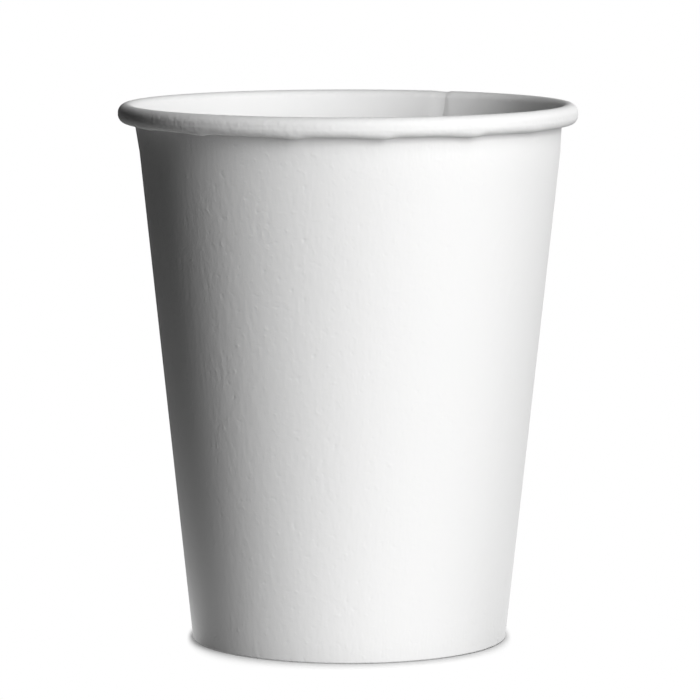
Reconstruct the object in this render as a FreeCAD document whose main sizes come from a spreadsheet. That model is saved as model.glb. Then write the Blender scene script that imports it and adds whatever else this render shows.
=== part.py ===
import FreeCAD, Part
import math
import os

import Sketcher

# A single-wall paper cup for hot drinks, in millimetres, standing on z = 0 with its axis on Z.
# It is two pieces of coated board. The side wall is one sheet, wrapped into a taper, lapped and
# sealed down its seam, curled outwards into the rolled rim, and folded up inside at the foot. The
# bottom is a disc whose skirt points down and is gripped between the wall and that fold.

# Alias, size and meaning of each driving dimension. Angles are in degrees.
SIZES = [
    ("rim_diameter", "80.0", "outside of the rolled rim"),
    ("cup_height", "94.0", "standing plane to the top of the rim"),
    ("base_diameter", "55.0", "outside of the wall, carried down to the standing plane"),
    ("board_thickness", "0.4", "coated board of the side wall"),
    ("roll_width", "3.05", "outside of the rim's roll, across the rim"),
    ("roll_height", "3.5", "outside of the rim's roll, top to bottom"),
    ("lip_clearance", "0.1", "gap between the roll's lip and the wall"),
    ("lip_turn", "188.0", "how far the lip turns from the roll's widest point"),
    ("lap_width", "9.5", "overlap of the seam, half way up the wall"),
    ("lap_ramp_width", "2.2", "stretch over which the sheet climbs onto its own edge"),
    ("seam_bearing", "63.0", "inner edge of the seam, round from +X"),
    ("tuck_height", "6.2", "top of the fold inside the foot"),
    ("foot_corner_radius", "0.35", "corners of the foot's fold"),
    ("disc_thickness", "0.32", "coated board of the bottom"),
    ("disc_height", "7.2", "standing plane to the underside of the bottom"),
    ("disc_bend_radius", "0.9", "outside of the bend from the bottom to its skirt"),
    ("skirt_foot_clearance", "0.15", "gap between the skirt's edge and the foot's fold"),
    ("seal_clearance", "0.02", "film of sealant on each side of the skirt"),
]
SHEET_NAME = "dims"
SIZE = {alias: float(text) for alias, text, meaning in SIZES}

# The sketcher numbers an edge's points up from 1 and a sketch's own axes down from -1. Both axes
# start at its origin.
START, END, CENTRE = range(1, 4)
H_AXIS, V_AXIS = range(-1, -3, -1)
WHOLE_TURN = 360

# The wall's radius half way up, where the seam's widths are measured.
MID_RADIUS = "((dims.rim_diameter / 2 - dims.roll_width + dims.base_diameter / 2) / 2)"
LAP_ANGLE = f"dims.lap_width / {MID_RADIUS} * 180 / pi"
RAMP_ANGLE = f"dims.lap_ramp_width / {MID_RADIUS} * 180 / pi"
SKIRT_SLOT = "(dims.disc_thickness + 2 * dims.seal_clearance)"


def make_sheet(doc):
    sheet = doc.addObject("Spreadsheet::Sheet", SHEET_NAME)
    for row, (alias, text, meaning) in enumerate(SIZES, 1):
        sheet.set(f"A{row}", alias)
        sheet.set(f"B{row}", text)
        sheet.setAlias(f"B{row}", alias)
        sheet.set(f"C{row}", meaning)
    doc.recompute()


class Taper:
    """The wall's slope in the plane of radius and height, as first drawn before the sketch is solved."""

    def __init__(self):
        self.roll = SIZE["roll_width"] / 2
        self.board = SIZE["board_thickness"]
        self.foot = FreeCAD.Vector(SIZE["base_diameter"] / 2, 0, 0)
        self.roll_centre = FreeCAD.Vector(
            SIZE["rim_diameter"] / 2 - self.roll, SIZE["cup_height"] - self.roll, 0
        )
        span = self.roll_centre - self.foot
        slope = math.atan2(span.y, span.x) + math.asin((self.roll - self.board) / span.Length)
        self.up = FreeCAD.Vector(math.cos(slope), math.sin(slope), 0)
        self.inwards = FreeCAD.Vector(-math.sin(slope), math.cos(slope), 0)

    def at(self, depth, height):
        """The point at this height, this far in from the wall's outer face."""
        start = self.foot + self.inwards * depth
        return start + self.up * ((height - start.y) / self.up.y)

    def corner(self, depth, height):
        """The point at this height whose distance in from the outer face is this depth."""
        away = (depth - height * self.inwards.y) / self.inwards.x
        return FreeCAD.Vector(self.foot.x + away, height, 0)


def around(centre, radius, angle):
    return centre + FreeCAD.Vector(math.cos(angle), math.sin(angle), 0) * radius


class Outline:
    """A sketch in a half plane through the cup's axis, with sizes bound to the sheet."""

    def __init__(self, body, name, bearing):
        self.sketch = body.newObject("Sketcher::SketchObject", name)
        plane = next(f for f in body.Origin.OriginFeatures if f.Role == "XZ_Plane")
        self.sketch.AttachmentSupport = [(plane, "")]
        self.sketch.MapMode = "FlatFace"
        self.sketch.AttachmentOffset = FreeCAD.Placement(
            FreeCAD.Vector(), FreeCAD.Rotation(FreeCAD.Vector(0, 1, 0), 1)
        )
        self.sketch.setExpression("AttachmentOffset.Rotation.Angle", bearing)

    def line(self, start, end, construction=False):
        return self.sketch.addGeometry(Part.LineSegment(start, end), construction)

    def circle(self, centre, radius, construction=False):
        drawn = Part.Circle(centre, FreeCAD.Vector(0, 0, 1), radius)
        return self.sketch.addGeometry(drawn, construction)

    def arc(self, centre, radius, first, last):
        drawn = Part.Circle(centre, FreeCAD.Vector(0, 0, 1), radius)
        return self.sketch.addGeometry(Part.ArcOfCircle(drawn, first, last))

    def rule(self, kind, *where):
        self.sketch.addConstraint(Sketcher.Constraint(kind, *where))

    def size(self, name, formula, kind, *where):
        """A dimension that starts at the drawn value and is then bound to the sheet."""
        number = self.sketch.addConstraint(Sketcher.Constraint(kind, *where))
        self.sketch.renameConstraint(number, name)
        self.sketch.setExpression(f"Constraints.{name}", formula)


def draw_reference(outline, taper):
    """The wall's outer face as a guide line, tangent to a guide circle inside the rim's roll."""
    inner = taper.roll - taper.board
    touch = taper.roll_centre + taper.inwards * inner
    face = outline.line(taper.foot, touch, True)
    guide = outline.circle(taper.roll_centre, inner, True)
    outline.rule("PointOnObject", face, START, H_AXIS)
    outline.size("foot_radius", "dims.base_diameter / 2",
                 "DistanceX", H_AXIS, START, face, START, taper.foot.x)
    outline.size("roll_centre_radius", "dims.rim_diameter / 2 - dims.roll_width / 2",
                 "DistanceX", H_AXIS, START, guide, CENTRE, taper.roll_centre.x)
    outline.size("roll_centre_height", "dims.cup_height - dims.roll_width / 2",
                 "DistanceY", H_AXIS, START, guide, CENTRE, taper.roll_centre.y)
    outline.size("roll_inside", "dims.roll_width / 2 - dims.board_thickness",
                 "Radius", guide, inner)
    outline.rule("Tangent", face, END, guide)
    return face, guide


def draw_sheet_section(body, name, bearing, layer):
    """The wrapped sheet cut through: foot fold, wall and rolled rim, for the inner layer (0) or the
    outer layer (1) of the seam, which lies one thickness further out on the sheet's printed side."""
    outline = Outline(body, name, bearing)
    taper = Taper()
    face, guide = draw_reference(outline, taper)
    board, inwards = taper.board, taper.inwards
    out = layer * board
    roll = taper.roll - out
    shift = (board + SIZE["lip_clearance"]) / 2
    run = SIZE["roll_height"] - SIZE["roll_width"]
    lip_centre = taper.roll_centre + FreeCAD.Vector(shift, -run, 0)
    lip_end = math.radians(WHOLE_TURN - SIZE["lip_turn"])
    top = math.atan2(inwards.y, inwards.x)
    slot = SIZE["disc_thickness"] + 2 * SIZE["seal_clearance"]
    leg_face = board + slot + out
    leg_back = leg_face + board
    fillet = SIZE["foot_corner_radius"]
    outer_fillet = taper.corner(fillet - out, fillet)
    inner_fillet = taper.corner(leg_back - fillet, fillet)
    leg_top = taper.at(leg_face, SIZE["tuck_height"])
    corner_in = math.atan2(inwards.y, inwards.x)
    corner_out = corner_in + math.pi
    down = 1.5 * math.pi

    wall_in = outline.line(taper.at(board - out, board), taper.roll_centre + inwards * roll)
    roll_out = outline.arc(taper.roll_centre, roll, 0, top)
    run_out = outline.line(around(taper.roll_centre, roll, 0), around(lip_centre, roll - shift, 0))
    lip_out = outline.arc(lip_centre, roll - shift, lip_end, 2 * math.pi)
    lip_cap = outline.line(around(lip_centre, roll - shift, lip_end),
                           around(lip_centre, roll - shift - board, lip_end))
    lip_in = outline.arc(lip_centre, roll - shift - board, lip_end, 2 * math.pi)
    run_in = outline.line(around(lip_centre, roll - shift - board, 0),
                          around(taper.roll_centre, roll - board, 0))
    roll_in = outline.arc(taper.roll_centre, roll - board, 0, top)
    wall_out = outline.line(taper.roll_centre + inwards * (roll - board),
                            outer_fillet - inwards * fillet)
    fold_out = outline.arc(outer_fillet, fillet, down, corner_out)
    foot = outline.line(FreeCAD.Vector(outer_fillet.x, 0, 0), FreeCAD.Vector(inner_fillet.x, 0, 0))
    fold_in = outline.arc(inner_fillet, fillet, corner_in, down)
    leg_inside = outline.line(inner_fillet + inwards * fillet, leg_top + inwards * board)
    leg_cap = outline.line(leg_top + inwards * board, leg_top)
    leg_outside = outline.line(leg_top, taper.at(leg_face, board))
    slot_floor = outline.line(taper.at(leg_face, board), taper.at(board - out, board))

    for first, first_end, second, second_end in (
        (wall_in, END, roll_out, END),
        (roll_out, START, run_out, START),
        (run_out, END, lip_out, END),
        (lip_in, END, run_in, START),
        (run_in, END, roll_in, START),
        (roll_in, END, wall_out, START),
        (wall_out, END, fold_out, END),
        (fold_out, START, foot, START),
        (foot, END, fold_in, END),
        (fold_in, START, leg_inside, START),
    ):
        outline.rule("Tangent", first, first_end, second, second_end)
    for first, first_end, second, second_end in (
        (lip_out, START, lip_cap, START),
        (lip_cap, END, lip_in, START),
        (leg_inside, END, leg_cap, START),
        (leg_cap, END, leg_outside, START),
        (leg_outside, END, slot_floor, START),
        (slot_floor, END, wall_in, START),
        (roll_out, CENTRE, guide, CENTRE),
        (roll_in, CENTRE, guide, CENTRE),
        (lip_in, CENTRE, lip_out, CENTRE),
    ):
        outline.rule("Coincident", first, first_end, second, second_end)
    for edge in (wall_in, wall_out, leg_inside, leg_outside):
        outline.rule("Parallel", edge, face)
    outline.rule("Perpendicular", leg_cap, face)
    outline.rule("Horizontal", foot)
    outline.rule("Horizontal", slot_floor)
    outline.rule("Vertical", run_out)
    outline.rule("Vertical", run_in)
    outline.rule("PointOnObject", foot, START, H_AXIS)
    outline.rule("PointOnObject", lip_out, CENTRE, lip_cap)

    out_text = f"{layer} * dims.board_thickness"
    outline.size("roll_radius", f"dims.roll_width / 2 - {out_text}",
                 "Radius", roll_out, roll)
    outline.size("roll_inner_radius",
                 f"dims.roll_width / 2 - dims.board_thickness - {out_text}",
                 "Radius", roll_in, roll - board)
    outline.size("lip_radius",
                 "dims.roll_width / 2 - (dims.board_thickness + dims.lip_clearance) / 2"
                 f" - {out_text}",
                 "Radius", lip_out, roll - shift)
    outline.size("lip_drop", "dims.roll_height - dims.roll_width",
                 "DistanceY", lip_out, CENTRE, guide, CENTRE, run)
    outline.size("lip_angle", f"dims.lip_turn - {WHOLE_TURN // 2}",
                 "Angle", H_AXIS, lip_cap, math.pi - lip_end)
    outline.size("outer_fillet", "dims.foot_corner_radius", "Radius", fold_out, fillet)
    outline.size("inner_fillet", "dims.foot_corner_radius", "Radius", fold_in, fillet)
    outline.size("leg_face_depth", f"dims.board_thickness + {SKIRT_SLOT} + {out_text}",
                 "Distance", leg_outside, START, face, leg_face)
    outline.size("leg_back_depth", f"2 * dims.board_thickness + {SKIRT_SLOT} + {out_text}",
                 "Distance", leg_inside, END, face, leg_back)
    outline.size("leg_height", "dims.tuck_height",
                 "DistanceY", H_AXIS, START, leg_outside, START, leg_top.y)
    outline.size("fold_thickness", "dims.board_thickness",
                 "DistanceY", H_AXIS, START, slot_floor, START, board)
    return outline.sketch


def revolve(body, name, sketch, angle, clockwise):
    turned = body.newObject("PartDesign::Revolution", name)
    turned.Profile = (sketch, [""])
    turned.ReferenceAxis = (sketch, ["V_Axis"])
    turned.Reversed = clockwise
    turned.setExpression("Angle", angle)
    return turned


def make_side_wall(doc):
    """One sheet, wrapped clockwise from the seam's inner edge. Just short of a whole turn it climbs
    one thickness over its own start, and the outer layer then runs on to the seam's outer edge."""
    body = doc.addObject("PartDesign::Body", "side_wall")
    body.Label = "side_wall"
    seam = "dims.seam_bearing"
    inner = draw_sheet_section(body, "inner_layer_section", seam, 0)
    climb_start = draw_sheet_section(body, "climb_start_section", f"{seam} + {RAMP_ANGLE}", 0)
    outer = draw_sheet_section(body, "outer_layer_section", seam, 1)
    doc.recompute()
    revolve(body, "wrapped_sheet", inner, f"{WHOLE_TURN} - {RAMP_ANGLE}", True)
    doc.recompute()
    climb = body.newObject("PartDesign::AdditiveLoft", "seam_climb")
    climb.Profile = (climb_start, [""])
    climb.Sections = [(outer, [""])]
    climb.Ruled = True
    doc.recompute()
    revolve(body, "outer_lap", outer, LAP_ANGLE, True)
    doc.recompute()
    return body


def make_bottom_disc(doc):
    """The drawn bottom: a flat disc with a bend and a skirt that follows the wall's taper down."""
    body = doc.addObject("PartDesign::Body", "bottom_disc")
    body.Label = "bottom_disc"
    outline = Outline(body, "disc_section", "dims.seam_bearing")
    taper = Taper()
    face = draw_reference(outline, taper)[0]
    board = SIZE["disc_thickness"]
    inwards = taper.inwards
    skirt_face = taper.board + SIZE["seal_clearance"]
    skirt_back = skirt_face + board
    under = SIZE["disc_height"]
    bend = SIZE["disc_bend_radius"]
    bend_centre = taper.corner(skirt_face + bend, under + board - bend)
    skirt_end = taper.at(skirt_face, taper.board + SIZE["skirt_foot_clearance"])
    outwards_angle = math.atan2(-inwards.y, -inwards.x)
    up = math.pi / 2

    top = outline.line(FreeCAD.Vector(0, under + board, 0),
                       FreeCAD.Vector(bend_centre.x, under + board, 0))
    bend_out = outline.arc(bend_centre, bend, outwards_angle, up)
    skirt_out = outline.line(bend_centre - inwards * bend, skirt_end)
    skirt_cap = outline.line(skirt_end, skirt_end + inwards * board)
    skirt_in = outline.line(skirt_end + inwards * board, bend_centre - inwards * (bend - board))
    bend_in = outline.arc(bend_centre, bend - board, outwards_angle, up)
    underside = outline.line(FreeCAD.Vector(bend_centre.x, under, 0), FreeCAD.Vector(0, under, 0))
    axis = outline.line(FreeCAD.Vector(0, under, 0), FreeCAD.Vector(0, under + board, 0))

    for first, first_end, second, second_end in (
        (top, END, bend_out, END),
        (bend_out, START, skirt_out, START),
        (skirt_in, END, bend_in, START),
        (bend_in, END, underside, START),
    ):
        outline.rule("Tangent", first, first_end, second, second_end)
    for first, first_end, second, second_end in (
        (skirt_out, END, skirt_cap, START),
        (skirt_cap, END, skirt_in, START),
        (underside, END, axis, START),
        (axis, END, top, START),
        (bend_in, CENTRE, bend_out, CENTRE),
    ):
        outline.rule("Coincident", first, first_end, second, second_end)
    outline.rule("Horizontal", top)
    outline.rule("Vertical", axis)
    outline.rule("Parallel", skirt_out, face)
    outline.rule("Parallel", skirt_in, face)
    outline.rule("Perpendicular", skirt_cap, face)
    outline.rule("PointOnObject", axis, START, V_AXIS)
    outline.size("underside_height", "dims.disc_height",
                 "DistanceY", H_AXIS, START, axis, START, under)
    outline.size("disc_board", "dims.disc_thickness", "DistanceY", axis, START, axis, END, board)
    outline.size("bend_radius", "dims.disc_bend_radius", "Radius", bend_out, bend)
    outline.size("bend_inner_radius", "dims.disc_bend_radius - dims.disc_thickness",
                 "Radius", bend_in, bend - board)
    outline.size("skirt_face_depth", "dims.board_thickness + dims.seal_clearance",
                 "Distance", skirt_out, START, face, skirt_face)
    outline.size("skirt_end_height", "dims.board_thickness + dims.skirt_foot_clearance",
                 "DistanceY", H_AXIS, START, skirt_out, END, skirt_end.y)
    doc.recompute()
    revolve(body, "drawn_disc", outline.sketch, str(WHOLE_TURN), False)
    doc.recompute()
    return body


def check_document(doc):
    for item in doc.Objects:
        failed = [state for state in item.State if state in ("Invalid", "Error")]
        if failed:
            raise RuntimeError(f"{item.Label} is {failed}")


def export(body):
    shape = body.Shape
    if shape.isNull() or not shape.isValid() or not shape.Solids:
        raise RuntimeError(f"{body.Label} has no valid solid")
    shape.exportStep(f"parts/{body.Label}.step")
    print(f"{body.Label}: {len(shape.Solids)} solid, {len(shape.Faces)} faces, {shape.Volume:.1f} mm3")


def main():
    os.makedirs("parts", exist_ok=True)
    doc = FreeCAD.newDocument("paper_cup")
    make_sheet(doc)
    bodies = [make_side_wall(doc), make_bottom_disc(doc)]
    doc.recompute()
    check_document(doc)
    for body in bodies:
        export(body)


main()
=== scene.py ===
import math

import bmesh
import bpy
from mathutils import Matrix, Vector


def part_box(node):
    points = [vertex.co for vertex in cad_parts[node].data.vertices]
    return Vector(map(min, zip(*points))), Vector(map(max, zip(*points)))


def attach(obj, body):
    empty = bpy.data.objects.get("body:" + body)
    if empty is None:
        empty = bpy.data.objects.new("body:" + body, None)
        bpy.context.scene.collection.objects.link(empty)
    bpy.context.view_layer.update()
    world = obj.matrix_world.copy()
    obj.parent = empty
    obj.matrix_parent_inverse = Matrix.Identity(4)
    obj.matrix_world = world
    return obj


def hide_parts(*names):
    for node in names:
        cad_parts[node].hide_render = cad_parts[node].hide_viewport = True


# A single-wall paper cup for hot drinks, in metres, on its own axis and standing on z = 0.
# The side wall is one sheet of board, so it is drawn as a section and wrapped round by a node tree.

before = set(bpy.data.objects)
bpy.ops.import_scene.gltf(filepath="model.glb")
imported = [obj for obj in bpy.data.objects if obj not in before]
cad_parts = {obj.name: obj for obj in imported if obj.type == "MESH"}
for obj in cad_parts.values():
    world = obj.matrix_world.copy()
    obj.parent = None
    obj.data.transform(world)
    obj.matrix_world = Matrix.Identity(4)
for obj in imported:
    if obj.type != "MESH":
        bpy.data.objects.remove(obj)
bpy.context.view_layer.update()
WALL_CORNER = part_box("side_wall")[1]

# The sheet of the side wall.
RIM_RADIUS = WALL_CORNER.x
CUP_HEIGHT = WALL_CORNER.z
FOOT_RADIUS = 0.0275
BOARD = 0.0004
ROLL_WIDTH = 0.00305
ROLL_HEIGHT = 0.0035
LIP_GAP = 0.0001
LIP_TURN = math.radians(188)
FOLD_RADIUS = 0.00035
TUCK_HEIGHT = 0.0062

# The seam. Widths are measured half way up the wall.
SEAM_BEARING = math.radians(63)
LAP_WIDTH = 0.0095
CLIMB_WIDTH = 0.0022
SKIVE_WIDTH = 0.0014
SKIVE_DEPTH = 0.0003

# The drawn bottom.
DISC_BOARD = 0.00032
DISC_HEIGHT = 0.0072
DISC_BEND = 0.0009
DISC_SAG = 0.00025
SEAL_GAP = 0.00002
SKIRT_FOOT_GAP = 0.00015
PUCKERS = 84
PUCKER_DEPTH = 0.00003
PUCKER_START = 0.93

# In boards: how far the seam's outer layer still moves off the inner one round the roll, and how far
# the covered layer is lifted off the ground under the foot.
ROLL_CLIMB = 0.35
TREAD_LIFT = 0.1

# Buckles along the lip of the rim's roll: the reach of a buckle round the roll, its flanks as shares
# of the distance from one buckle to the next, and the power that hollows them.
KINKS = 15
KINK_DEPTH = 0.00042
KINK_PHASE = 0.35
KINK_SHIFT = 0.1
KINK_PLACE_SEED = 2970
KINK_HEIGHT_SEED = 3698
KINK_REACH = (math.radians(192), math.radians(345))
KINK_RISE = 0.46
KINK_FALL = 0.13
KINK_HOLLOW = 1.6

# The roll's drift and drop off its true place, the wall's lean, and the lip's sag, which grows with
# this power of the way to the side.
ROLL_DRIFT = 0.00035
WALL_LEAN = 0.00015
ROLL_DROP = 0.00018
LIP_SAG = 0.0001
LIP_SAG_POWER = 3.0
LIP_BULGE = 0.00012

# The crimping of the foot's fold.
KNURLS = 96
KNURL_DEPTH = 0.00009

# How finely the two pieces are divided.
WRAP_STATIONS = 361
DISC_STATIONS = 240
ROLL_STEP = math.radians(6)
RUN_STEPS = 4
WALL_STEPS = 26
FOLD_STEPS = 8
LEG_STEPS = 12
FLAT_STEPS = 24
BEND_STEPS = 10
SKIRT_STEPS = 8
SHARP_ANGLE = math.radians(50)


class Value:
    """A node's output that arithmetic can be written with: each operator adds its Math node."""

    def __init__(self, maker, socket):
        self.maker = maker
        self.socket = socket

    def math(self, operation, *values):
        return self.maker.add("ShaderNodeMath", {"operation": operation}, dict(enumerate(values)))

    def other(self, key):
        """Another output of the same node."""
        return Value(self.maker, pick(self.socket.node.outputs, key))

    def __add__(self, other):
        return self.math("ADD", self, other)

    def __radd__(self, other):
        return self.math("ADD", other, self)

    def __sub__(self, other):
        return self.math("SUBTRACT", self, other)

    def __rsub__(self, other):
        return self.math("SUBTRACT", other, self)

    def __mul__(self, other):
        return self.math("MULTIPLY", self, other)

    def __rmul__(self, other):
        return self.math("MULTIPLY", other, self)

    def __truediv__(self, other):
        return self.math("DIVIDE", self, other)

    def __rtruediv__(self, other):
        return self.math("DIVIDE", other, self)

    def __pow__(self, other):
        return self.math("POWER", self, other)

    def __gt__(self, other):
        return self.math("GREATER_THAN", self, other)

    def __lt__(self, other):
        return self.math("LESS_THAN", self, other)


def pick(sockets, key):
    """A socket by its number, its identifier or its name."""
    if isinstance(key, int):
        return sockets[key]
    return next(s for s in sockets if key in (s.identifier, s.name))


class Maker:
    """Adds nodes to one tree, geometry or shader."""

    def __init__(self, tree):
        self.tree = tree

    def add(self, kind, settings=None, inputs=None, output=0):
        """One node: its settings first, then the values or links of its sockets."""
        node = self.tree.nodes.new(kind)
        for name, setting in (settings or {}).items():
            setattr(node, name, setting)
        for key, value in (inputs or {}).items():
            socket = pick(node.inputs, key)
            if isinstance(value, Value):
                self.tree.links.new(value.socket, socket)
            else:
                socket.default_value = value
        return Value(self, pick(node.outputs, output))

    def end(self, kind, inputs):
        """A node that nothing follows."""
        node = self.tree.nodes.new(kind)
        for key, value in inputs.items():
            self.tree.links.new(value.socket, pick(node.inputs, key))


# The sheet's section

class Step:
    """One place on a board's mid-line, as radius and height, with the way that its outer side faces.
    Its weights say whether it is on the rolled stretch, how much of a buckle or pucker reaches it, how
    far it moves with the roll, how far it sags with the lip and how much of the crimping it takes."""

    def __init__(self, place, facing, curl=0.0, lip=0.0, roll=0.0, low=0.0, fold=0.0):
        self.place = place
        self.facing = facing
        self.curl = curl
        self.lip = lip
        self.roll = roll
        self.low = low
        self.fold = fold


def along_line(start, end, facing, count, **weights):
    return [Step(start.lerp(end, i / count), facing, **weights) for i in range(count + 1)]


def polar(angle):
    return Vector((math.cos(angle), math.sin(angle)))


def along_arc(centre, radius, first, last, side, count=None, **weights):
    """Side 1 has the board's outer side away from the arc's centre, and -1 towards it."""
    count = count or max(2, round(abs(last - first) / ROLL_STEP))
    steps = []
    for i in range(count + 1):
        out = polar(first + (last - first) * i / count)
        steps.append(Step(centre + out * radius, out * side, **weights))
    return steps


def joined(*stretches):
    """The stretches in one list, with each shared place kept once."""
    steps = list(stretches[0])
    for stretch in stretches[1:]:
        steps.extend(stretch[1:])
    return steps


class Taper:
    """The wall's slope, tangent to the inside of the rim's roll, in the plane of radius and height."""

    def __init__(self):
        self.foot = Vector((FOOT_RADIUS, 0))
        roll = ROLL_WIDTH / 2
        self.roll_centre = Vector((RIM_RADIUS - roll, CUP_HEIGHT - roll))
        span = self.roll_centre - self.foot
        self.slope = math.atan2(span.y, span.x) + math.asin((roll - BOARD) / span.length)
        self.up = polar(self.slope)
        self.inwards = Vector((-self.up.y, self.up.x))

    def at(self, depth, height):
        """The place at this height, this far in from the wall's outer face."""
        start = self.foot + self.inwards * depth
        return start + self.up * ((height - start.y) / self.up.y)


def lip_share(angle):
    """How much of a buckle reaches this place round the roll: all of it on the underside, none on top."""
    low, high = KINK_REACH
    if not low < angle < high:
        return 0.0
    return math.sin(math.pi * (angle - low) / (high - low)) ** 2


def sheet_section():
    """The side wall's mid-line, from the lip of the roll to the top of the fold inside the foot."""
    taper = Taper()
    half = BOARD / 2
    lip_shift = (BOARD + LIP_GAP) / 2
    lip_centre = taper.roll_centre + Vector((lip_shift, ROLL_WIDTH - ROLL_HEIGHT))
    outermost = 2 * math.pi
    lip_radius = ROLL_WIDTH / 2 - lip_shift - half
    lip = along_arc(lip_centre, lip_radius, outermost - LIP_TURN, outermost, -1, curl=1.0, low=1.0)
    for i, step in enumerate(lip):
        step.lip = lip_share(outermost - LIP_TURN + LIP_TURN * i / (len(lip) - 1))
    tangent = taper.slope + math.pi / 2
    top = along_arc(taper.roll_centre, ROLL_WIDTH / 2 - half, 0, tangent, -1, curl=1.0)
    run = along_line(lip[-1].place, top[0].place, top[0].facing, RUN_STEPS, curl=1.0)
    for i, step in enumerate(run):
        step.low = 1 - i / (len(run) - 1)
    for step in lip + run + top:
        step.roll = 1.0

    slot = DISC_BOARD + 2 * SEAL_GAP
    wall_depth = half
    leg_depth = BOARD + slot + half
    mid_fold = FOLD_RADIUS - half
    outer_fold = taper.at(wall_depth + mid_fold, FOLD_RADIUS)
    inner_fold = taper.at(leg_depth - mid_fold, FOLD_RADIUS)
    down = -math.pi / 2
    outwards = tangent - math.pi
    leg_top = taper.at(leg_depth, TUCK_HEIGHT)
    wall = along_line(top[-1].place, outer_fold - taper.inwards * mid_fold, -taper.inwards, WALL_STEPS)
    for step in wall:
        rise = (step.place.y - CUP_HEIGHT + 2 * ROLL_HEIGHT) / ROLL_HEIGHT
        step.roll = min(1.0, max(0.0, rise))
    fold_out = along_arc(outer_fold, mid_fold, outwards, down, 1, FOLD_STEPS)
    floor = along_line(fold_out[-1].place, inner_fold + polar(down) * mid_fold, polar(down), 1)
    fold_in = along_arc(inner_fold, mid_fold, down, outwards - math.pi, 1, FOLD_STEPS)
    leg = along_line(fold_in[-1].place, leg_top, taper.inwards, LEG_STEPS)
    for step in leg:
        step.fold = min(1.0, max(0.0, (step.place.y - 2 * FOLD_RADIUS) / FOLD_RADIUS))
    return joined(lip, run, top, wall, fold_out, floor, fold_in, leg)


def climb_way(step):
    """How the outer layer of the seam moves off the inner one, in boards: straight outwards at the
    foot, which stays on the ground, and little round the roll, which presses the layers together."""
    if step.place.y < FOLD_RADIUS * 2:
        return (step.facing.x, 0, 0)
    share = 1 - (1 - ROLL_CLIMB) * step.roll
    return (step.facing.x * share, step.facing.y * share, 0)


def section_mesh(steps, thickness):
    """A closed loop round the board's section: up its outer side, then back down its inner side.
    Its attributes keep, for each place, what the wrapping needs to know."""
    outer = [(s, s.place + s.facing * (thickness / 2), 0.0) for s in steps]
    inner = [(s, s.place - s.facing * (thickness / 2), 1.0) for s in reversed(steps)]
    loop = outer + inner
    mesh = bpy.data.meshes.new("section")
    edges = [(i, (i + 1) % len(loop)) for i in range(len(loop))]
    mesh.from_pydata([(place.x, place.y, 0) for step, place, side in loop], edges, [])
    vectors = {
        "place": [(place.x, place.y, 0) for step, place, side in loop],
        "facing": [(step.facing.x, step.facing.y, 0) for step, place, side in loop],
        "climb": [climb_way(step) for step, place, side in loop],
    }
    numbers = {
        "side": [side for step, place, side in loop],
        "tread": [max(0.0, -step.facing.y) * (step.roll == 0) for step, place, side in loop],
        "film_curl": [step.curl * side for step, place, side in loop],
        "lip": [step.lip for step, place, side in loop],
        "roll": [step.roll for step, place, side in loop],
        "low": [step.low for step, place, side in loop],
        "fold": [step.fold * (1 - side) for step, place, side in loop],
    }
    for name, values in vectors.items():
        attribute = mesh.attributes.new(name, "FLOAT_VECTOR", "POINT")
        attribute.data.foreach_set("vector", [x for value in values for x in value])
    for name, values in numbers.items():
        attribute = mesh.attributes.new(name, "FLOAT", "POINT")
        attribute.data.foreach_set("value", values)
    return mesh


# The wrapping

WRAP_INPUTS = [
    ("Seam Bearing", "NodeSocketFloat"),
    ("Whole Wrap", "NodeSocketFloat"),
    ("Climb Start", "NodeSocketFloat"),
    ("Climb End", "NodeSocketFloat"),
    ("Skive End", "NodeSocketFloat"),
    ("Skive Depth", "NodeSocketFloat"),
    ("Board", "NodeSocketFloat"),
    ("Stations", "NodeSocketInt"),
    ("Kinks", "NodeSocketFloat"),
    ("Kink Depth", "NodeSocketFloat"),
    ("Kink Phase", "NodeSocketFloat"),
    ("Kink Shift", "NodeSocketFloat"),
    ("Kink Place Seed", "NodeSocketInt"),
    ("Kink Height Seed", "NodeSocketInt"),
    ("Roll Drift", "NodeSocketFloat"),
    ("Wall Lean", "NodeSocketFloat"),
    ("Roll Drop", "NodeSocketFloat"),
    ("Lip Sag", "NodeSocketFloat"),
    ("Lip Bulge", "NodeSocketFloat"),
    ("Knurls", "NodeSocketFloat"),
    ("Knurl Depth", "NodeSocketFloat"),
    ("Outer Board", "NodeSocketMaterial"),
    ("Inner Film", "NodeSocketMaterial"),
    ("Rolled Film", "NodeSocketMaterial"),
    ("Cut Edge", "NodeSocketMaterial"),
]


def kink_height(make, given, bearing):
    """From 0 to 1: one buckle in each equal stretch of the rim, a little out of place and of its own
    height, with a long flank on one side and a short one on the other."""
    along = bearing * given["Kinks"] / (2 * math.pi) + given["Kink Phase"]
    cell = along.math("ROUND", along)
    name = cell.math("FLOORED_MODULO", cell, given["Kinks"])
    shift = make.add(
        "FunctionNodeRandomValue", {"data_type": "FLOAT"},
        {2: -1.0, 3: 1.0, "ID": name, "Seed": given["Kink Place Seed"]}, "Value_001",
    ) * given["Kink Shift"]
    height = make.add(
        "FunctionNodeRandomValue", {"data_type": "FLOAT"},
        {2: 0.0, 3: 1.0, "ID": name, "Seed": given["Kink Height Seed"]}, "Value_001",
    )
    past = along - cell - shift
    before = past.math("MAXIMUM", 1 + past / KINK_RISE, 0.0)
    after = past.math("MAXIMUM", 1 - past / KINK_FALL, 0.0)
    flank = before.math("MINIMUM", before, after)
    return flank.math("MINIMUM", flank, 1.0) ** KINK_HOLLOW * height


def named(make, name, data_type="FLOAT"):
    return make.add("GeometryNodeInputNamedAttribute", {"data_type": data_type}, {"Name": name})


def offset(make, place, way, distance):
    settings = {"operation": "MULTIPLY_ADD"}
    return make.add("ShaderNodeVectorMath", settings, {0: way, 1: distance, 2: place})


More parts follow.
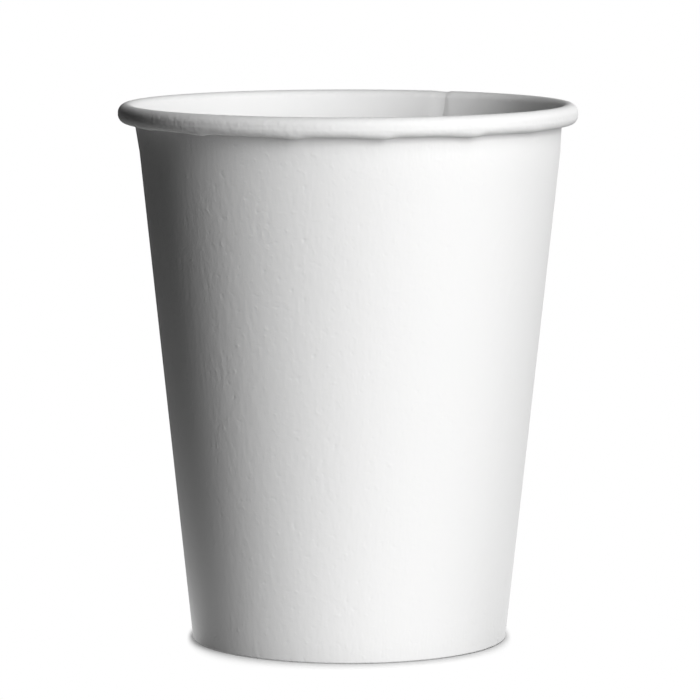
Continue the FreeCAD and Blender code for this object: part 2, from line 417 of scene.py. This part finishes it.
def wrapping_tree():
    """Sweeps the section once round the cup, climbing one board's thickness onto its own start."""
    tree = bpy.data.node_groups.new("wrapped_sheet", "GeometryNodeTree")
    tree.interface.new_socket("Geometry", in_out="INPUT", socket_type="NodeSocketGeometry")
    for name, kind in WRAP_INPUTS:
        tree.interface.new_socket(name, in_out="INPUT", socket_type=kind)
    tree.interface.new_socket("Geometry", in_out="OUTPUT", socket_type="NodeSocketGeometry")
    make = Maker(tree)
    section = make.add("NodeGroupInput")
    given = {name: section.other(name) for name, kind in WRAP_INPUTS}

    rail = make.add("GeometryNodeCurvePrimitiveLine", {"mode": "POINTS"}, {"End": (0, 0, 1)})
    rail = make.add("GeometryNodeResampleCurve", {}, {"Curve": rail, "Count": given["Stations"]})
    rail = make.add(
        "GeometryNodeStoreNamedAttribute", {"data_type": "FLOAT", "domain": "POINT"},
        {"Geometry": rail, "Name": "turn", "Value": make.add("GeometryNodeSplineParameter")},
    )
    profile = make.add("GeometryNodeMeshToCurve", {}, {"Mesh": section})
    sheet = make.add(
        "GeometryNodeCurveToMesh", {}, {"Curve": rail, "Profile Curve": profile, "Fill Caps": True},
    )

    turn = named(make, "turn") * given["Whole Wrap"]
    bearing = given["Seam Bearing"] - turn
    climb = make.add(
        "ShaderNodeMapRange", {"interpolation_type": "SMOOTHSTEP"},
        {"Value": turn, "From Min": given["Climb Start"], "From Max": given["Climb End"]},
    )
    kink = kink_height(make, given, bearing) * given["Kink Depth"] + given["Lip Bulge"]
    ridge = (bearing * given["Knurls"] / 2).math("SINE", bearing * given["Knurls"] / 2)
    groove = ridge.math("ABSOLUTE", ridge) * given["Knurl Depth"] * named(make, "fold")
    thin = make.add(
        "ShaderNodeMapRange", {"interpolation_type": "SMOOTHSTEP"},
        {"Value": turn, "From Max": given["Skive End"], "To Min": given["Skive Depth"], "To Max": 0.0},
    )
    push = thin * named(make, "side") - kink * named(make, "lip") - groove
    climb_way = named(make, "climb", "FLOAT_VECTOR")
    place = offset(make, named(make, "place", "FLOAT_VECTOR"), climb_way, climb * given["Board"])
    place = offset(make, place, named(make, "facing", "FLOAT_VECTOR"), push)
    radius = make.add("ShaderNodeSeparateXYZ", {}, {"Vector": place})
    height = radius.other("Y")
    across = bearing.math("COSINE", bearing)
    back = bearing.math("SINE", bearing)
    roll = named(make, "roll")
    aside = given["Wall Lean"] * height / CUP_HEIGHT - given["Roll Drift"] * roll
    drop = given["Roll Drop"] * roll * (1 - back) / 2
    sag = across ** LIP_SAG_POWER * given["Lip Sag"] * named(make, "low")
    covered = turn < (given["Whole Wrap"] - 2 * math.pi)
    lift = named(make, "tread") * covered * given["Board"] * TREAD_LIFT
    wrapped = make.add("ShaderNodeCombineXYZ", {}, {
        "X": radius * across + aside,
        "Y": radius * back,
        "Z": height - drop - sag + lift,
    })
    sheet = make.add("GeometryNodeSetPosition", {}, {"Geometry": sheet, "Position": wrapped})
    sheet = make.add("GeometryNodeSetShadeSmooth", {}, {"Geometry": sheet})
    sheet = make.add("GeometryNodeRealizeInstances", {}, {"Geometry": sheet})
    side = named(make, "side")
    for name, chosen in (
        ("Cut Edge", None),
        ("Outer Board", side < 0.25),
        ("Inner Film", side > 0.75),
        ("Rolled Film", named(make, "film_curl") > 0.75),
    ):
        inputs = {"Geometry": sheet, "Material": given[name]}
        if chosen is not None:
            inputs["Selection"] = chosen
        sheet = make.add("GeometryNodeSetMaterial", {}, inputs)
    make.end("NodeGroupOutput", {"Geometry": sheet})
    return tree


SECTION_NAMES = (
    "place", "facing", "climb", "side", "tread", "film_curl", "lip", "roll", "low", "fold", "turn",
)


def grown(section, tree, values, name):
    """The tree's result on the section as a plain mesh object of this name."""
    seed_object = bpy.data.objects.new(name + "_section", section)
    bpy.context.scene.collection.objects.link(seed_object)
    modifier = seed_object.modifiers.new("wrap", "NODES")
    modifier.node_group = tree
    for item in tree.interface.items_tree:
        if item.in_out == "INPUT" and item.name in values:
            modifier[item.identifier] = values[item.name]
    depsgraph = bpy.context.evaluated_depsgraph_get()
    mesh = bpy.data.meshes.new_from_object(
        seed_object.evaluated_get(depsgraph), preserve_all_data_layers=True, depsgraph=depsgraph
    )
    bpy.data.objects.remove(seed_object)
    for attribute in list(mesh.attributes):
        if attribute.name in SECTION_NAMES:
            mesh.attributes.remove(attribute)
    mesh.name = name
    mesh.set_sharp_from_angle(angle=SHARP_ANGLE)
    piece = bpy.data.objects.new(name, mesh)
    bpy.context.scene.collection.objects.link(piece)
    return piece


def make_side_wall(materials):
    taper = Taper()
    mid_radius = (RIM_RADIUS - ROLL_WIDTH + FOOT_RADIUS) / 2
    lap = LAP_WIDTH / mid_radius
    climb = CLIMB_WIDTH / mid_radius
    whole_turn = 2 * math.pi
    values = {
        "Seam Bearing": SEAM_BEARING,
        "Whole Wrap": whole_turn + lap,
        "Climb Start": whole_turn - climb,
        "Climb End": whole_turn,
        "Skive End": SKIVE_WIDTH / mid_radius,
        "Skive Depth": SKIVE_DEPTH,
        "Board": BOARD,
        "Stations": WRAP_STATIONS,
        "Kinks": float(KINKS),
        "Kink Depth": KINK_DEPTH,
        "Kink Phase": KINK_PHASE,
        "Kink Shift": KINK_SHIFT,
        "Kink Place Seed": KINK_PLACE_SEED,
        "Kink Height Seed": KINK_HEIGHT_SEED,
        "Roll Drift": ROLL_DRIFT,
        "Wall Lean": WALL_LEAN,
        "Roll Drop": ROLL_DROP,
        "Lip Sag": LIP_SAG,
        "Lip Bulge": LIP_BULGE,
        "Knurls": float(KNURLS),
        "Knurl Depth": KNURL_DEPTH,
        "Outer Board": materials["outer_board"],
        "Inner Film": materials["inner_film"],
        "Rolled Film": materials["rolled_film"],
        "Cut Edge": materials["cut_edge"],
    }
    wall = grown(section_mesh(sheet_section(), BOARD), wrapping_tree(), values, "wrapped_wall")
    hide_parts("side_wall")
    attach(wall, "root")


# The bottom

def disc_section():
    """The drawn bottom's mid-line, from its centre out to the foot of its skirt."""
    taper = Taper()
    half = DISC_BOARD / 2
    skirt_depth = BOARD + SEAL_GAP + half
    mid_bend = DISC_BEND - half
    bend_centre = taper.at(skirt_depth + mid_bend, DISC_HEIGHT + DISC_BOARD - DISC_BEND)
    up = Vector((0, 1))
    level = DISC_HEIGHT + half
    flat = along_line(Vector((0, level)), Vector((bend_centre.x, level)), up, FLAT_STEPS)
    outwards = taper.slope - math.pi / 2
    bend = along_arc(bend_centre, mid_bend, math.pi / 2, outwards, 1, BEND_STEPS)
    skirt_foot = taper.at(skirt_depth, BOARD + SKIRT_FOOT_GAP)
    skirt = along_line(bend[-1].place, skirt_foot, -taper.inwards, SKIRT_STEPS)
    reach = bend_centre.x
    for step in flat:
        share = step.place.x / reach
        step.place.y -= DISC_SAG * (1 - share * share) ** 2
        step.lip = max(0.0, share - PUCKER_START) / (1 - PUCKER_START)
    for step in bend:
        step.lip = 1.0
    return joined(flat, bend, skirt)


def make_bottom(materials):
    """The section turned once round, closed on the axis, with fine puckers round its bend."""
    steps = disc_section()
    half = DISC_BOARD / 2
    outer = [(s, 1) for s in steps[1:]]
    inner = [(s, -1) for s in reversed(steps[1:])]
    mesh = bmesh.new()
    top = mesh.verts.new((0, 0, steps[0].place.y + half))
    under = mesh.verts.new((0, 0, steps[0].place.y - half))
    rings = []
    for i in range(DISC_STATIONS):
        bearing = 2 * math.pi * i / DISC_STATIONS
        pucker = PUCKER_DEPTH * abs(math.sin(PUCKERS * bearing / 2))
        ring = []
        for step, side in outer + inner:
            place = step.place + step.facing * (side * half - pucker * step.lip)
            ring.append(mesh.verts.new((
                place.x * math.cos(bearing), place.x * math.sin(bearing), place.y,
            )))
        rings.append(ring)
    for i, ring in enumerate(rings):
        after = rings[(i + 1) % len(rings)]
        mesh.faces.new((top, ring[0], after[0]))
        mesh.faces.new((under, after[-1], ring[-1]))
        for j in range(len(ring) - 1):
            face = mesh.faces.new((ring[j], ring[j + 1], after[j + 1], after[j]))
            if j >= len(outer):
                face.material_index = 1
            elif j == len(outer) - 1:
                face.material_index = 2
    for face in under.link_faces:
        face.material_index = 1
    for face in mesh.faces:
        face.smooth = True
    mesh.normal_update()
    data = bpy.data.meshes.new("drawn_bottom")
    mesh.to_mesh(data)
    mesh.free()
    for name in ("bottom_film", "bottom_board", "cut_edge"):
        data.materials.append(materials[name])
    data.set_sharp_from_angle(angle=SHARP_ANGLE)
    bottom = bpy.data.objects.new("drawn_bottom", data)
    bpy.context.scene.collection.objects.link(bottom)
    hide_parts("bottom_disc")
    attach(bottom, "root")


# The finishes

# Paper hardly shines, coated or not.
GLOSS = 0.15

# The marks of the board, by how many there are to a metre, and how long its fibres lie up the wall.
FIBRE_SCALE = 1000
SPECK_SCALE = 1000
CLOUD_SCALE = 260
WRINKLE_SCALE = 1100
UPRIGHT_FIBRES = (1.0, 1.0, 0.35)


def new_material(name):
    material = bpy.data.materials.new(name)
    material.use_nodes = True
    material.node_tree.nodes.clear()
    return material, Maker(material.node_tree)


def noise(make, place, scale, detail, roughness=0.5):
    """A noise from about -1 to 1."""
    settings = {"noise_dimensions": "3D"}
    inputs = {"Vector": place, "Scale": scale, "Detail": detail, "Roughness": roughness}
    return make.add("ShaderNodeTexNoise", settings, inputs) * 2 - 1


def board_material(name, color, roughness, relief, mottle, wrinkling=0.0):
    """Paper board: cloudy formation in its colour, and in its relief fibres, specks and, where it is
    curled, wrinkles. Relief is the height in metres that the marks stand for, and mottle the share by
    which the colour varies."""
    material, make = new_material(name)
    place = make.add("ShaderNodeTexCoord", output="Object")
    upright = make.add("ShaderNodeMapping", {}, {"Vector": place, "Scale": UPRIGHT_FIBRES})
    fibres = noise(make, upright, FIBRE_SCALE, detail=1.0)
    specks = noise(make, place, SPECK_SCALE, detail=0.0) ** 3.0
    clouds = noise(make, place, CLOUD_SCALE, detail=2.0)
    wrinkles = noise(make, place, WRINKLE_SCALE, detail=1.0, roughness=0.6)
    height = fibres * 0.2 + clouds * 0.2 + specks * 0.7 + wrinkles * wrinkling
    bump = make.add(
        "ShaderNodeBump", {}, {"Strength": 1.0, "Distance": relief, "Height": height}, "Normal",
    )
    shade = 1 + (clouds * 0.6 + fibres * 0.4) * mottle
    tint = make.add("ShaderNodeVectorMath", {"operation": "SCALE"}, {0: color, "Scale": shade})
    rough = roughness + fibres * 0.05
    surface = make.add("ShaderNodeBsdfPrincipled", {}, {
        "Base Color": tint, "Roughness": rough, "Normal": bump, "Specular IOR Level": GLOSS,
    })
    make.end("ShaderNodeOutputMaterial", {"Surface": surface})
    return material


def make_materials():
    white = (0.9, 0.9, 0.898)
    film = (0.89, 0.89, 0.888)
    under = (0.89, 0.89, 0.885)
    edge = (0.83, 0.82, 0.79)
    return {
        "outer_board": board_material("outer_board", white, 0.9, 0.00008, 0.003),
        "inner_film": board_material("inner_film", film, 0.8, 0.00002, 0.003),
        "rolled_film": board_material("rolled_film", film, 0.8, 0.00009, 0.008, 0.35),
        "cut_edge": board_material("cut_edge", edge, 0.9, 0.00006, 0.05),
        "bottom_film": board_material("bottom_film", film, 0.75, 0.00002, 0.003),
        "bottom_board": board_material("bottom_board", under, 0.9, 0.00005, 0.003),
    }


# The stage

# The lift keeps the lit part of the floor white, and the bounce is the share of its light that the
# floor sends back to the cup.
FLOOR_RADIUS = 4.0
FLOOR_SIDES = 64
FLOOR_LIFT = 0.4
FLOOR_BOUNCE = 0.06

# The shadow shows out to this distance from the foot, in front and at the sides, and the painted shade of
# the contact, which ambient occlusion mixes towards black, reaches this far.
SHADE_FRONT = 0.012
SHADE_SIDE = 0.0012
CONTACT_REACH = 0.008
CONTACT_SAMPLES = 16

# Patches of the floor that light the cup from below: each one's centre, reach and strength.
GLOWS = (
    ((-0.036, -0.003, 0), 0.015, 0.9),
    ((-0.045, -0.01, 0), 0.05, 0.33),
    ((-0.05, 0.02, 0), 0.04, 0.75),
    ((0.045, 0.02, 0), 0.04, 1.0),
    ((0, -0.05, 0), 0.05, 0.48),
    ((0, -0.15, 0), 0.12, 0.87),
)

WORLD_LIGHT = 0.002


def seen_directly(make):
    """1 for rays from the camera, and for those that it sees in a gloss or through glass."""
    path = make.add("ShaderNodeLightPath", output="Is Camera Ray")
    mirrored = path.math("MAXIMUM", path, path.other("Is Glossy Ray"))
    return path.math("MAXIMUM", mirrored, path.other("Is Transmission Ray"))


def make_floor():
    """White to the camera, with the lamps' shadow kept near the foot and a painted shade of the contact
    there, mixed towards black by ambient occlusion. To other rays it is a dim floor with the glowing
    patches."""
    mesh = bpy.data.meshes.new("floor")
    corners = [polar(2 * math.pi * i / FLOOR_SIDES) * FLOOR_RADIUS for i in range(FLOOR_SIDES)]
    mesh.from_pydata([(c.x, c.y, 0) for c in corners], [], [list(range(FLOOR_SIDES))])
    material, make = new_material("floor_white")
    place = make.add("ShaderNodeTexCoord", output="Object")
    away = make.add("ShaderNodeVectorMath", {"operation": "LENGTH"}, {0: place}, "Value")
    depth = make.add("ShaderNodeSeparateXYZ", {}, {"Vector": place}, "Y")
    ahead = (depth / away) ** 2.0
    reach = SHADE_SIDE + (SHADE_FRONT - SHADE_SIDE) * ahead
    near = make.add(
        "ShaderNodeMapRange", {"interpolation_type": "SMOOTHSTEP"},
        {"Value": (away - FOOT_RADIUS) / reach, "To Min": 1.0, "To Max": 0.0},
    )
    # Painted contact shade: the occlusion share mixes the floor towards a black emission near the foot.
    open_share = make.add(
        "ShaderNodeAmbientOcclusion", {"samples": CONTACT_SAMPLES}, {"Distance": CONTACT_REACH}, "AO",
    )
    matt = make.add("ShaderNodeBsdfDiffuse", {}, {"Color": (1, 1, 1, 1)})
    lift = make.add("ShaderNodeEmission", {}, {"Strength": FLOOR_LIFT})
    lit = make.add("ShaderNodeAddShader", {}, {0: matt, 1: lift})
    painted_contact_shade = make.add("ShaderNodeEmission", {}, {"Strength": 0.0})
    shaded = make.add("ShaderNodeMixShader", {}, {0: open_share, 1: painted_contact_shade, 2: lit})
    plain = make.add("ShaderNodeEmission", {}, {"Strength": 1.0})
    seen = make.add("ShaderNodeMixShader", {}, {0: near, 1: plain, 2: shaded})
    glow = 0
    for centre, patch_reach, strength in GLOWS:
        aside = make.add(
            "ShaderNodeVectorMath", {"operation": "DISTANCE"}, {0: place, 1: centre}, "Value",
        )
        glow = glow + make.add(
            "ShaderNodeMapRange", {"interpolation_type": "SMOOTHSTEP"},
            {"Value": aside, "From Max": patch_reach, "To Min": strength, "To Max": 0.0},
        )
    bounce = make.add("ShaderNodeBsdfDiffuse", {}, {"Color": (FLOOR_BOUNCE,) * 3 + (1,)})
    glowing = make.add("ShaderNodeEmission", {}, {"Strength": glow})
    unseen = make.add("ShaderNodeAddShader", {}, {0: bounce, 1: glowing})
    surface = make.add(
        "ShaderNodeMixShader", {}, {0: seen_directly(make), 1: unseen, 2: seen},
    )
    make.end("ShaderNodeOutputMaterial", {"Surface": surface})
    mesh.materials.append(material)
    floor = bpy.data.objects.new("floor", mesh)
    bpy.context.scene.collection.objects.link(floor)


def make_world():
    world = bpy.data.worlds.new("studio")
    world.use_nodes = True
    world.node_tree.nodes.clear()
    make = Maker(world.node_tree)
    strength = WORLD_LIGHT + seen_directly(make) * (1 - WORLD_LIGHT)
    light = make.add("ShaderNodeBackground", {}, {"Strength": strength})
    make.end("ShaderNodeOutputWorld", {"Surface": light})
    bpy.context.scene.world = world


LAMP_DISTANCE = 1.1


def soft_box(name, azimuth, elevation, width, height, share):
    """A rectangular lamp that faces the cup. Azimuth is to the right of the camera's side, and share is
    how much of full white it gives a white card that faces it."""
    lamp = bpy.data.lights.new(name, "AREA")
    lamp.shape = "RECTANGLE"
    lamp.size = width
    lamp.size_y = height
    lamp.energy = share * math.pi ** 2 * LAMP_DISTANCE ** 2
    across, above = math.radians(azimuth), math.radians(elevation)
    direction = Vector((
        math.sin(across) * math.cos(above), -math.cos(across) * math.cos(above), math.sin(above),
    ))
    box = bpy.data.objects.new(name, lamp)
    box.location = Vector((0, 0, CUP_HEIGHT / 2)) + direction * LAMP_DISTANCE
    box.rotation_mode = "QUATERNION"
    box.rotation_quaternion = direction.to_track_quat("Z", "Y")
    bpy.context.scene.collection.objects.link(box)


def make_lights():
    soft_box("key", 35, 17, width=0.4, height=0.6, share=0.8)
    soft_box("top", 35, 40, width=0.5, height=0.5, share=0.32)
    soft_box("edge", 150, 10, width=0.5, height=0.5, share=0.31)


CAMERA_PLACE = (0.00015, -0.7893, 0.14194)
CAMERA_TILT = math.radians(6.599)
CAMERA_LENS = 233.5
CAMERA_NEAREST = 0.01
CAMERA_FARTHEST = 20


def make_camera():
    camera = bpy.data.cameras.new("camera")
    camera.lens = CAMERA_LENS
    camera.clip_start = CAMERA_NEAREST
    camera.clip_end = CAMERA_FARTHEST
    seat = bpy.data.objects.new("camera", camera)
    seat.location = CAMERA_PLACE
    seat.rotation_euler = (math.pi / 2 - CAMERA_TILT, 0, 0)
    bpy.context.scene.collection.objects.link(seat)
    bpy.context.scene.camera = seat


def main():
    materials = make_materials()
    make_side_wall(materials)
    make_bottom(materials)
    make_floor()
    make_world()
    make_lights()
    make_camera()
    bpy.context.scene.view_settings.view_transform = "Standard"


main()
